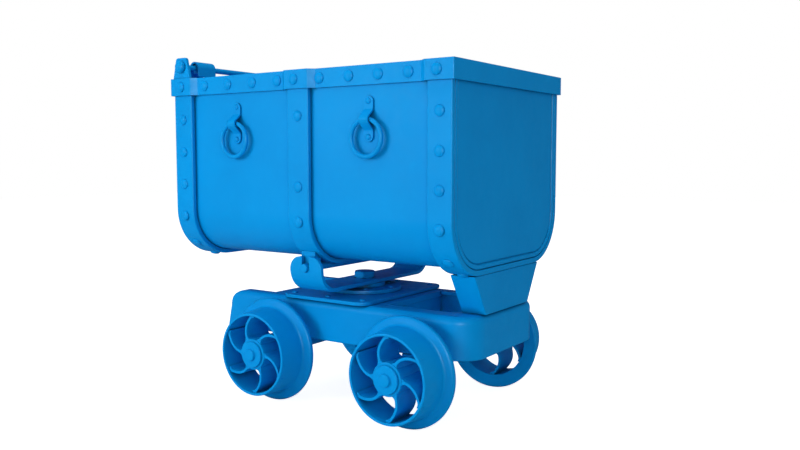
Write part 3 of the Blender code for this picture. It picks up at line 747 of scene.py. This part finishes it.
def build_handle(face):
    """A bent strip that stands off the door in its middle. Its line is (distance out, z)."""
    line = [(0.0, 0.672), (0.0, 0.650), (0.028, 0.642), (0.028, 0.598), (0.0, 0.590), (0.0, 0.568)]
    points = [(face - out, z) for out, z in rounded(line, HANDLE_BEND)]
    outline = points + offset_line(points, -HANDLE_T)[::-1]
    bm = prism("Y", outline, -HANDLE_HALF, HANDLE_HALF)
    bevel(bm, 0.0018, 3, angle=50)
    piece("door_pull", bm, "door", SHEET, ("door_handle",))
    front = face - HANDLE_T
    heads = [((front, y, z), (-1, 0, 0)) for y in HANDLE_RIVETS_Y for z in HANDLE_RIVETS_Z]
    rivets("door_pull_rivets", heads, "door", HANDLE_RIVET, 20)


def build_hinge_straps(face):
    """Sheet straps that come up the door and roll over the hinge pin."""
    back, front = HINGE_X + ROLL_R, HINGE_X - ROLL_R
    line = [(back, 1.152), (back, 1.166)] + arc((HINGE_X, HINGE_Z), ROLL_R, 0, 180, 36)
    down = [(front, HINGE_Z), (front - 0.002, 1.172), (face, 1.152), (face, 1.120)]
    line += rounded(down, 0.012, 6)[1:] + [(face, LEAF_BOTTOM)]
    for side, side_name in NEAR_FAR:
        low, high = lows_highs("hinge_strap_" + side_name)
        outline = line + offset_line(line, -HINGE_T)[::-1]
        bm = prism("Y", outline, low[1], high[1])
        bevel(bm, 0.0016, 3, angle=50)
        piece("hinge_leaf_" + side_name, bm, "door", SHEET, ("hinge_strap_" + side_name,))
        y = (low[1] + high[1]) / 2
        heads = []
        for z in LEAF_RIVETS_Z:
            for dy in LEAF_RIVETS_Y:
                heads.append(((face - HINGE_T, y + dy, z), (-1, 0, 0)))
        rivets("hinge_leaf_rivets_" + side_name, heads, "door", LEAF_RIVET)
        low, high = lows_highs("hinge_sleeve_" + side_name)
        bore, outside = HINGE_ROD_R + GAP, (high[0] - low[0]) / 2
        sleeve = [(bore, low[1]), (outside, low[1]), (outside, high[1]), (bore, high[1])]
        bm = turned(sleeve, (HINGE_X, 0, HINGE_Z), "Y", 48)
        piece("hinge_tube_" + side_name, bm, "door", SHEET, ("hinge_sleeve_" + side_name,))


# ---------------------------------------------------------------- frame
FRAME_LOW, FRAME_HIGH = lows_highs("frame")
FRAME_WALL = 0.050
FRAME_CORNER = 0.090
FRAME_OPENING_END = 0.495
LIP_START = 0.2275
LIP_INNER = 0.168
LIP_T = 0.012
BAY_CORNER = 0.045
FRAME_EDGE_TOP, FRAME_EDGE_LOW = 0.026, 0.006
# The door end has a rounded upper corner, and its face leans out towards the foot.
DOOR_END_CORNER, DOOR_END_LEAN = 0.055, 0.018


def build_frame():
    """One casting: side beams joined by a rounded end, with broad outer edges and a lip in the bay."""
    r, inner_r = FRAME_CORNER, BAY_CORNER
    left, right, half = FRAME_LOW[0], FRAME_HIGH[0], FRAME_HIGH[1]
    top_z, low_z = FRAME_HIGH[2], FRAME_LOW[2]
    inner = half - FRAME_WALL
    line = [(left, -half)] + arc((right - r, -half + r), r, 270, 360, 32)
    line += arc((right - r, half - r), r, 0, 90, 32) + [(left, half), (left, inner)]
    line += [(LIP_START, inner), (LIP_START, LIP_INNER)]
    line += arc((FRAME_OPENING_END - inner_r, LIP_INNER - inner_r), inner_r, 90, 0, 20)
    line += arc((FRAME_OPENING_END - inner_r, -LIP_INNER + inner_r), inner_r, 0, -90, 20)
    line += [(LIP_START, -LIP_INNER), (LIP_START, -inner), (left, -inner)]
    bm = prism("Z", line, low_z, top_z)
    bmesh.ops.recalc_face_normals(bm, faces=bm.faces)

    def outside(v):
        return abs(v.co.y) > half - 1e-6 or v.co.x > right - r - 1e-6

    def round_off(z, offset, segments):
        level = [e for e in bm.edges if all(abs(v.co.z - z) < 1e-6 and outside(v) for v in e.verts)]
        level = [e for e in level if not all(abs(v.co.x - left) < 1e-6 for v in e.verts)]
        bmesh.ops.bevel(bm, geom=level, offset=offset, segments=segments, profile=0.5, affect="EDGES")

    round_off(top_z, FRAME_EDGE_TOP, 12)
    round_off(low_z, FRAME_EDGE_LOW, 4)
    casting = new_object("frame_casting", bm)

    corner_x, clear = left + DOOR_END_LEAN + DOOR_END_CORNER, 0.02
    corner = arc((corner_x, top_z - DOOR_END_CORNER), DOOR_END_CORNER, 180, 90, 24)
    corner += [(corner_x, top_z + clear), (left - clear, top_z + clear)]
    corner += [(left - clear, low_z - 0.01), (left - 0.002, low_z - 0.01)]
    boolean(casting, prism("Y", corner, -ACROSS, ACROSS))

    wall = inner - 0.0004
    recess = [(LIP_START - clear, -wall)]
    recess += arc((FRAME_OPENING_END - inner_r, -wall + inner_r), inner_r, 270, 360, 20)
    recess += arc((FRAME_OPENING_END - inner_r, wall - inner_r), inner_r, 0, 90, 20)
    recess += [(LIP_START - clear, wall)]
    boolean(casting, prism("Z", recess, low_z - clear, top_z - LIP_T))
    piece("frame_casting", casting, "chassis", CAST, ("frame",))


def build_bolster():
    low, high = lows_highs("bolster")
    left, right, top, foot = low[0], high[0], high[2], low[2]
    under = top - 0.020
    # Each leg stands between these distances from the ends of the top.
    leg_out, leg_in = 0.008, 0.026
    outline = [(left, top), (left, under), (left + leg_out, under), (left + leg_out, foot)]
    outline += [(left + leg_in, foot), (left + leg_in, under), (right - leg_in, under)]
    outline += [(right - leg_in, foot), (right - leg_out, foot), (right - leg_out, under)]
    outline += [(right, under), (right, top)]
    bm = prism("Y", outline, low[1], high[1])
    bevel(bm, 0.0022, 3)
    piece("bolster_channel", bm, "chassis", CAST, ("bolster",))
    low, high = lows_highs("frame_tie_bar")
    r = (high[2] - low[2]) / 2
    centre = ((low[0] + high[0]) / 2, 0, (low[2] + high[2]) / 2)
    profile = [(0.0, low[1]), (r, low[1]), (r, high[1]), (0.0, high[1])]
    piece("tie_bar_round", turned(profile, centre, "Y", 48), "chassis", SHEET, ("frame_tie_bar",))


# ---------------------------------------------------------------- turntable
KING_BORE = 0.0198
KING_R = 0.0195
TURNTABLE_CORNER = 0.045
TURNTABLE_PLATE_T, TURNTABLE_DISC_T = 0.012, 0.0132
TURNTABLE_RIVETS_X, TURNTABLE_RIVETS_Y = (-0.152, 0.0, 0.150), (-0.212, 0.212)
DISC_RIVETS_R = 0.106


def build_turntable():
    low, high = lows_highs("turntable_plate")
    top = low[2] + TURNTABLE_PLATE_T
    outline = rounded_rectangle(high[0], -high[1], high[1], TURNTABLE_CORNER, 14)
    bm = prism("Z", outline, low[2], top)
    bevel(bm, 0.0024, 4)
    piece("turntable_base", bm, "chassis", CAST, ("turntable_plate",))
    heads = [((x, y, top), (0, 0, 1)) for x in TURNTABLE_RIVETS_X for y in TURNTABLE_RIVETS_Y]
    rivets("turntable_base_rivets", heads, "chassis", TURNTABLE_RIVET)

    low, high = lows_highs("turntable_disc")
    r, z0 = high[0], low[2]
    z1 = z0 + TURNTABLE_DISC_T
    profile = [(KING_BORE, z0), (r - 0.001, z0), (r, z0 + 0.001), (r, z1 - 0.0034)]
    profile += [(r - 0.001, z1 - 0.001), (r - 0.0034, z1), (KING_BORE, z1)]
    disc = turned(profile, (0, 0, 0), "Z", 128)
    piece("turntable_bearing", disc, "chassis", CAST, ("turntable_disc",))
    heads = []
    for k in range(6):
        a = radians(60 * k + 8)
        heads.append(((DISC_RIVETS_R * cos(a), DISC_RIVETS_R * sin(a), z1), (0, 0, 1)))
    rivets("turntable_bearing_rivets", heads, "chassis", DISC_RIVET)


def hexagon_head(radius, low, high, chamfer):
    """A hexagon bar with its corners turned off at the ends."""
    bar = new_object("hexagon", prism("Z", circle((0, 0), radius, 6), low, high))
    flat = radius * 0.866
    profile = [(0.0, low), (flat, low), (radius, low + chamfer)]
    profile += [(radius, high - chamfer), (flat, high), (0.0, high)]
    boolean(bar, turned(profile, (0, 0, 0), "Z", 96), "INTERSECT")
    return bar


def build_king_bolt():
    low, high = lows_highs("king_bolt")
    cradle_top = lows_highs("cradle")[0][2] + CRADLE_T
    head = hexagon_head(0.0405, cradle_top + GAP, high[2], 0.0040)
    piece("king_bolt_head", head, "chassis", SHEET, ("king_bolt",))
    shank = [(0.0, low[2]), (KING_R - 0.003, low[2]), (KING_R, low[2] + 0.003)]
    shank += [(KING_R, cradle_top), (0.0, cradle_top)]
    piece("king_bolt_shank", turned(shank, (0, 0, 0), "Z", 48), "chassis", SHEET)
    low, high = lows_highs("king_nut")
    nut = hexagon_head(0.0345, low[2], high[2], 0.0032)
    piece("king_nut_hexagon", nut, "chassis", SHEET, ("king_nut",))


# ---------------------------------------------------------------- cradle
CRADLE_T, CRADLE_BEND, CRADLE_EAR = 0.014, 0.080, 0.045


def build_cradle():
    low, high = lows_highs("swivel_washer")
    r, z0, z1 = high[0], low[2], high[2]
    profile = [(KING_BORE, z0), (r - 0.001, z0), (r, z0 + 0.001)]
    profile += [(r, z1 - 0.001), (r - 0.001, z1), (KING_BORE, z1)]
    piece("swivel_ring", turned(profile, (0, 0, 0), "Z", 96), "swivel", SHEET, ("swivel_washer",))

    low, high = lows_highs("cradle")
    half_x, half_y, top, floor = high[0], high[1], high[2], low[2]
    r = CRADLE_BEND
    line = refine([(-half_y, top), (-half_y, floor + r)], 0.003)[:-1]
    line += arc((-half_y + r, floor + r), r, 180, 270, 24)
    line += arc((half_y - r, floor + r), r, 270, 360, 24)
    line += refine([(half_y, floor + r), (half_y, top)], 0.003)[1:]
    total = line_length(line)

    def half_width(along):
        """The ears have round corners."""
        in_corner = CRADLE_EAR - min(along, total - along)
        if in_corner <= 0:
            return half_x
        return half_x - CRADLE_EAR + sqrt(CRADLE_EAR**2 - in_corner**2)

    bm = bent_strip(line, CRADLE_T, half_width)
    bevel(bm, 0.0026, 3, angle=50)
    bar = new_object("cradle_bar", bm)
    w = ROD_R + 0.001
    slot = arc((0, ROD_Z), w, 180, 360, 24) + [(w, top + 0.02), (-w, top + 0.02)]
    boolean(bar, prism("Y", slot, -ACROSS, ACROSS))
    hole = circle((0, 0), KING_BORE, 48)
    boolean(bar, prism("Z", hole, floor - 0.01, floor + CRADLE_T + 0.01))
    piece("cradle_bent_bar", bar, "swivel", SHEET, ("cradle",))


# ---------------------------------------------------------------- wheels
AXLE_Z = 0.181
BACK, FRONT = 0.281, 0.399
WIDTH = FRONT - BACK
FLANGE_R, TREAD_IN, TREAD_OUT, RIM_BORE, HUB_R = 0.181, 0.150, 0.143, 0.134, 0.054
FLANGE_EDGE = 0.0045
HUB_BORE = 0.0313
SPOKES, SPOKE_SWEEP, SPOKE_HALF, SPOKE_FLARE = 6, 30, 0.0046, 0.0075
SPOKE_START_R, SPOKE_PULL_R = 0.047, 0.104
AXLE_R, AXLE_END_R = 0.034, 0.025
CAP_R = 0.045
PEDESTAL_HALF = 0.050


def wheel_rim_profile():
    """Flange, root fillet, coned tread and front lip, as (radius, distance out from the back)."""
    edge_r = FLANGE_R - FLANGE_EDGE
    flange = [(RIM_BORE + 0.001, 0.0), (edge_r, 0.0)]
    for a in (0.5, 1.0, pi / 2):
        flange.append((edge_r + FLANGE_EDGE * sin(a), FLANGE_EDGE * (1 - cos(a))))
    flange += [(FLANGE_R, 0.0105), (FLANGE_R - 0.0012, 0.0140)]
    flange += [(edge_r, 0.0168), (FLANGE_R - 0.010, 0.0185)]
    fillet = [(TREAD_IN + 0.010, 0.0212), (TREAD_IN + 0.0048, 0.0232)]
    fillet += [(TREAD_IN + 0.0016, 0.0268), (TREAD_IN, 0.032)]
    lip = [(TREAD_OUT + 0.0004, WIDTH - 0.0035), (TREAD_OUT - 0.0008, WIDTH - 0.0010)]
    lip += [(TREAD_OUT - 0.0030, WIDTH), (RIM_BORE + 0.0024, WIDTH)]
    lip += [(RIM_BORE + 0.0006, WIDTH - 0.0008), (RIM_BORE, WIDTH - 0.0030)]
    return flange + fillet + lip + [(RIM_BORE, 0.001)]


def spoke_outline(hub_angle):
    """A curved vane that thickens into the hub and the rim."""
    a, b = radians(hub_angle), radians(hub_angle - SPOKE_SWEEP)
    start = SPOKE_START_R * Vector((cos(a), sin(a)))
    pull = SPOKE_PULL_R * Vector((cos(a), sin(a)))
    end = (RIM_BORE + 0.003) * Vector((cos(b), sin(b)))
    line = [curve(start, pull, end, i / 24) for i in range(25)]
    left, right = [], []
    for i, here in enumerate(line):
        tangent = (line[min(i + 1, 24)] - line[max(i - 1, 0)]).normalized()
        across = Vector((-tangent.y, tangent.x))
        near_end = min((here - line[0]).length - 0.006, (here - line[-1]).length - 0.002)
        flare = max(0.0, 1 - max(0.0, near_end) / 0.014)
        half = SPOKE_HALF + SPOKE_FLARE * flare**2
        left.append(tuple(here + across * half))
        right.append(tuple(here - across * half))
    return left + right[::-1]


def build_wheel(side, side_name, end):
    name = f"{side_name}_{end}"
    low, high = lows_highs("wheel_" + name)
    x = (low[0] + high[0]) / 2
    centre = (x, side * BACK, AXLE_Z)
    body = "wheel_" + name
    rim = turned(wheel_rim_profile(), centre, "Y", 112, side)
    piece("wheel_tyre_" + name, rim, body, CAST, ("wheel_" + name,))
    end_face = WIDTH - 0.005
    hub = [(HUB_BORE, -0.004), (HUB_R - 0.0055, -0.004), (HUB_R - 0.0040, -0.0028)]
    hub += [(HUB_R, end_face - 0.0034), (HUB_R - 0.0010, end_face - 0.0012)]
    hub += [(HUB_R - 0.0034, end_face), (HUB_BORE, end_face)]
    piece("wheel_hub_" + name, turned(hub, centre, "Y", 72, side), body, CAST)
    bm = bmesh.new()
    inside, outside = sorted((side * (BACK + 0.004), side * (FRONT - 0.008)))
    for k in range(SPOKES):
        outline = [(x + u, AXLE_Z + v) for u, v in spoke_outline(360 / SPOKES * k)]
        extrude(bm, "Y", outline, inside, outside)
    bevel(bm, 0.0013, 3, angle=50)
    piece("wheel_spokes_" + name, bm, body, CAST)
    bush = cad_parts["bush_" + name]
    bush.data.materials.clear()
    bush.data.materials.append(BRONZE)


def build_axles():
    for end in ENDS:
        low, high = lows_highs("axle_" + end)
        x = (low[0] + high[0]) / 2
        stop, shoulder, beam = high[1], BACK - 0.004 - GAP, FRAME_HIGH[1] + GAP
        half = [(AXLE_R - 0.0025, beam), (AXLE_R, beam + 0.002), (AXLE_R, shoulder - 0.002)]
        half += [(AXLE_R - 0.0015, shoulder), (AXLE_END_R, shoulder), (AXLE_END_R, stop), (0.0, stop)]
        profile = [(r, -along) for r, along in reversed(half)]
        profile += [(AXLE_END_R, -beam), (AXLE_END_R, beam)] + half
        bar = turned(profile, (x, 0, AXLE_Z), "Y", 64)
        piece("axle_bar_" + end, bar, "chassis", SHEET, ("axle_" + end,))
        for side, side_name in NEAR_FAR:
            build_cap(side, side_name, end, x)
            build_pedestal(side_name, end, x)


def build_cap(side, side_name, end, x):
    """A round cap with a small raised boss in its middle."""
    name = f"{side_name}_{end}"
    low, high = lows_highs("axle_cap_" + name)
    base, tip = sorted((abs(low[1]), abs(high[1])))
    plate = tip - 0.009
    profile = [(0.0, base), (CAP_R - 0.001, base), (CAP_R, base + 0.0008), (CAP_R, plate - 0.0026)]
    profile += [(CAP_R - 0.0008, plate - 0.0009), (CAP_R - 0.0025, plate), (0.0235, plate)]
    profile += [(0.0218, plate + 0.0004), (0.0208, plate + 0.0018), (0.0200, tip - 0.0030)]
    profile += [(0.0190, tip - 0.0010), (0.0168, tip), (0.0, tip)]
    cap = turned(profile, (x, 0, AXLE_Z), "Y", 64, side)
    piece("hub_cap_" + name, cap, "chassis", CAST, ("axle_cap_" + name,))


def build_pedestal(side_name, end, x):
    """A block under the beam with a round foot about the axle."""
    name = f"{side_name}_{end}"
    low, high = lows_highs("pedestal_" + name)
    left, right, shoulder = x - PEDESTAL_HALF, x + PEDESTAL_HALF, AXLE_Z - 0.005
    outline = [(left, high[2]), (left, shoulder)]
    outline += arc((x, AXLE_Z), PEDESTAL_HALF - 0.004, 195, 345, 28)
    outline += [(right, shoulder), (right, high[2])]
    bm = prism("Y", outline, low[1], high[1])
    bevel(bm, 0.0022, 3, angle=50)
    piece("axle_block_" + name, bm, "chassis", CAST, ("pedestal_" + name,))


build_tub()
build_rings()
build_hinge()
build_door()
build_frame()
build_bolster()
build_turntable()
build_king_bolt()
build_cradle()
build_axles()
for wheel_side, wheel_side_name in NEAR_FAR:
    for wheel_end in ENDS:
        build_wheel(wheel_side, wheel_side_name, wheel_end)


# ---------------------------------------------------------------- stage, light and camera
FLOOR_HALF = 14.0


def build_stage():
    bm = bmesh.new()
    half = FLOOR_HALF
    corners = ((-half, -half, 0), (half, -half, 0), (half, half, 0), (-half, half, 0))
    bm.faces.new([bm.verts.new(p) for p in corners])
    floor = new_object("floor", bm)
    paper, tree, shader = new_material("floor_white")
    gloss = tree.nodes.new("ShaderNodeLightPath").outputs["Is Glossy Ray"]
    # The gloss of the paint mirrors a darker floor than the one that lights the cart.
    base = mix(tree, gloss, (0.80, 0.80, 0.80), (0.10, 0.10, 0.10))
    tree.links.new(base, shader.inputs["Base Color"])
    shader.inputs["Roughness"].default_value = 0.9
    shader.inputs["Specular IOR Level"].default_value = 0.0
    shader.inputs["Emission Color"].default_value = (1.0, 1.0, 1.0, 1.0)
    # The paper sweep is lit separately: it looks white, and lights the cart from below only gently.
    seen = tree.nodes.new("ShaderNodeLightPath").outputs["Is Camera Ray"]
    tree.links.new(ramp(tree, seen, 0.0, 0.86), shader.inputs["Emission Strength"])
    floor.data.materials.append(paper)


def build_world():
    world = bpy.data.worlds.new("studio")
    bpy.context.scene.world = world
    world.use_nodes = True
    tree = world.node_tree
    tree.nodes.clear()
    out = tree.nodes.new("ShaderNodeOutputWorld")
    seen = tree.nodes.new("ShaderNodeBackground")
    seen.inputs["Color"].default_value = (1.0, 1.0, 1.0, 1.0)
    seen.inputs["Strength"].default_value = 1.0
    fill = tree.nodes.new("ShaderNodeBackground")
    fill.inputs["Color"].default_value = (1.0, 1.0, 1.0, 1.0)
    path = tree.nodes.new("ShaderNodeLightPath")
    tree.links.new(ramp(tree, path.outputs["Is Glossy Ray"], 0.40, 0.05), fill.inputs["Strength"])
    chosen = tree.nodes.new("ShaderNodeMixShader")
    tree.links.new(path.outputs["Is Camera Ray"], chosen.inputs[0])
    tree.links.new(fill.outputs[0], chosen.inputs[1])
    tree.links.new(seen.outputs[0], chosen.inputs[2])
    tree.links.new(chosen.outputs[0], out.inputs[0])


def area_light(name, location, target, size, power):
    data = bpy.data.lights.new(name, "AREA")
    data.shape = "RECTANGLE"
    data.size, data.size_y = size
    data.energy = power
    obj = bpy.data.objects.new(name, data)
    obj.location = location
    obj.rotation_euler = (Vector(target) - Vector(location)).to_track_quat("-Z", "Y").to_euler()
    bpy.context.scene.collection.objects.link(obj)
    return obj


def build_lights():
    area_light("key_softbox", (-2.2, -4.8, 1.7), (0.0, 0.0, 0.6), (2.6, 2.2), 122.0)
    area_light("top_softbox", (0.3, -0.6, 4.2), (0.0, 0.0, 0.6), (2.4, 2.4), 44.0)
    area_light("front_fill", (2.9, -3.0, 1.4), (0.2, 0.0, 0.45), (1.2, 1.2), 18.0)
    # Seen only in the gloss of the rounded edges between the near side and the closed end.
    glint = area_light("edge_glint", (2.2, -3.6, 1.4), (0.0, 0.0, 0.7), (1.1, 1.3), 340.0)
    glint.visible_diffuse = False


def build_camera():
    data = bpy.data.cameras.new("camera")
    data.lens = 36.452
    data.sensor_width = 36.0
    data.clip_start = 0.05
    camera = bpy.data.objects.new("camera", data)
    camera.location = (1.7798, -2.3702, 0.8570)
    forward = Vector((-0.5629, 0.8224, -0.0830))
    camera.rotation_euler = forward.to_track_quat("-Z", "Y").to_euler()
    bpy.context.scene.collection.objects.link(camera)
    bpy.context.scene.camera = camera


build_stage()
build_world()
build_lights()
build_camera()
bpy.context.scene.view_settings.view_transform = "Standard"
